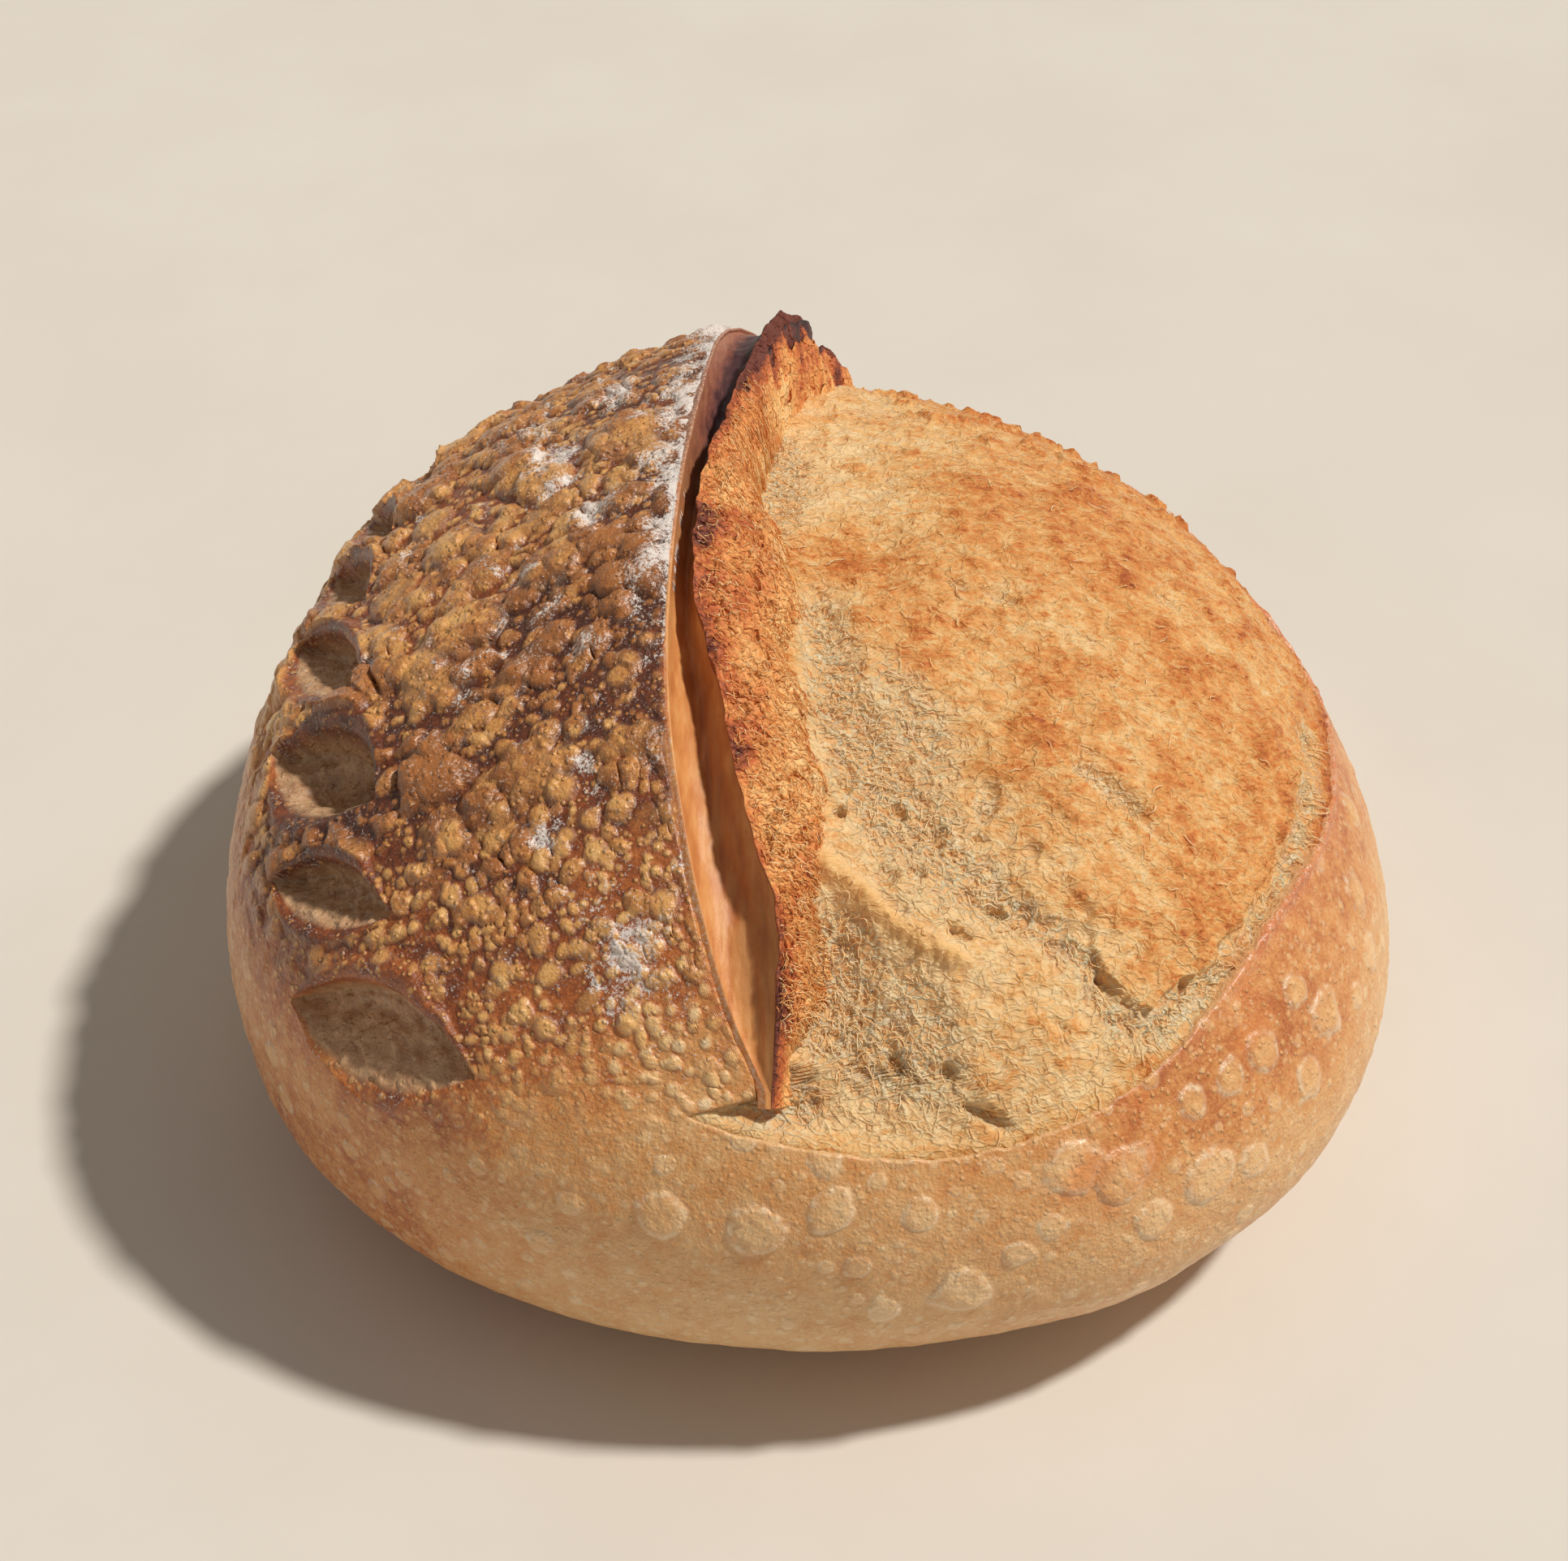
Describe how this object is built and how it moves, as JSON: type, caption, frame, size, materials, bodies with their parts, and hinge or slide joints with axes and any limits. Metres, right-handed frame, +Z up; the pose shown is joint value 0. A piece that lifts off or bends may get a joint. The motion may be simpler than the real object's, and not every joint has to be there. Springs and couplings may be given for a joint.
{
  "type": "sourdough loaf",
  "caption": "Round sourdough loaf with a long open score, a raised torn ear, leaf cuts on one side and a blistered crust",
  "frame": {"origin": "centre of the flat base that the loaf rests on", "axes": "+Z up, +Y along the long score from its low end to its high end, +X towards the open bloom"},
  "size_m": [0.2049, 0.2237, 0.112],
  "materials": {
    "crust": "browned baked crust, satin with small glossy blisters",
    "crumb": "open baked crumb, dry and fibrous",
    "flour": "dry matt dusting flour"
  },
  "bodies": {
    "root": {"loaf": "crust"}
  },
  "joints": []
}
